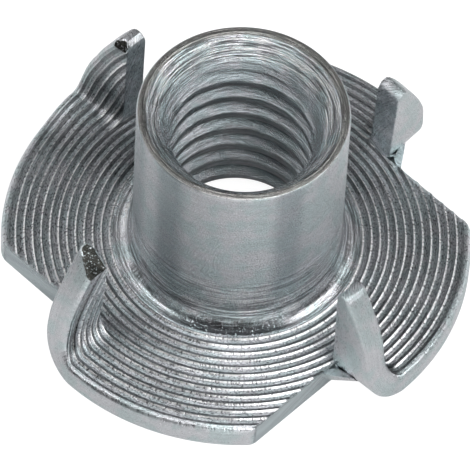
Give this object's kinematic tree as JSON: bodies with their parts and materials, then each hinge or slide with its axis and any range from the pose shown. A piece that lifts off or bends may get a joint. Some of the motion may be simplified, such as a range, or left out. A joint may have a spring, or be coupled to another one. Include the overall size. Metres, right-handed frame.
{
  "type": "tee nut",
  "caption": "Tee nut for wood: a threaded barrel on a round flange whose sheared edge strips are bent up as prongs.",
  "frame": {"origin": "centre of the flange's underside, on the barrel's axis", "axes": "+Z along the barrel's axis, from the flange's underside towards the mouth of the barrel; the first prong stands at 48 degrees from +X towards +Y"},
  "size_m": [0.022, 0.022, 0.011],
  "materials": {
    "zinc_plated_steel": "bright zinc plated, turned rings"
  },
  "bodies": {
    "root": {"tee_nut": "zinc_plated_steel"}
  },
  "joints": []
}
